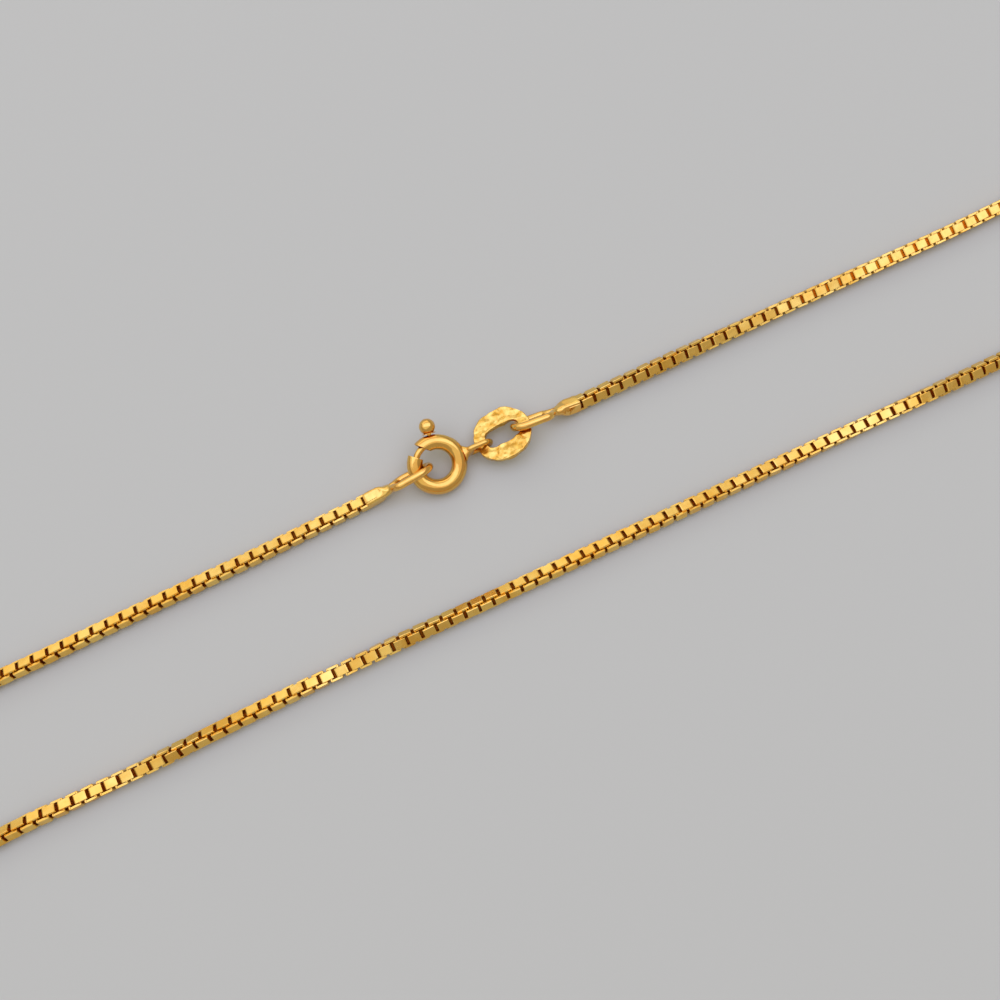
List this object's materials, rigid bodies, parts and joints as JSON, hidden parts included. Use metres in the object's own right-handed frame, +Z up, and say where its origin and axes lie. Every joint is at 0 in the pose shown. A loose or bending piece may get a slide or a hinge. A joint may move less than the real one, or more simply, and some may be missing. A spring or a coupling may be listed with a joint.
{
  "type": "box chain necklace",
  "caption": "Gold box chain necklace, closed and lying on a surface as a long narrow loop, with square end caps, oblong wire loops, a flat oval tag and a spring ring clasp.",
  "frame": {"origin": "on the surface, under the middle of the whole closed loop", "axes": "+X along the two long strands, from the left end cap to the right one; +Z up from the surface; the clasp is on the +Y strand"},
  "size_m": [0.2083, 0.0288, 0.0036],
  "materials": {
    "chain_gold": "polished yellow gold, flat link faces",
    "fitting_gold": "polished yellow gold wire and tube with fine wear",
    "tag_gold": "polished yellow gold, softly dented and worn"
  },
  "bodies": {
    "necklace": {"box_chain": "chain_gold", "left_end_loop": "fitting_gold", "right_end_loop": "fitting_gold", "tag_ring": "tag_gold", "clasp_ring": "fitting_gold"},
    "clasp_bolt": {"clasp_bolt": "fitting_gold"}
  },
  "joints": [
    {"name": "bolt_trigger", "type": "hinge", "parent": "necklace", "child": "clasp_bolt", "pos_m": [-0.00684, 0.00686, 0.00163], "axis": [-0.0858, 0.358, -0.9298], "range_deg": [0, 36], "stiffness_Nm_per_rad": 0.004, "springref_deg": -5.73}
  ]
}
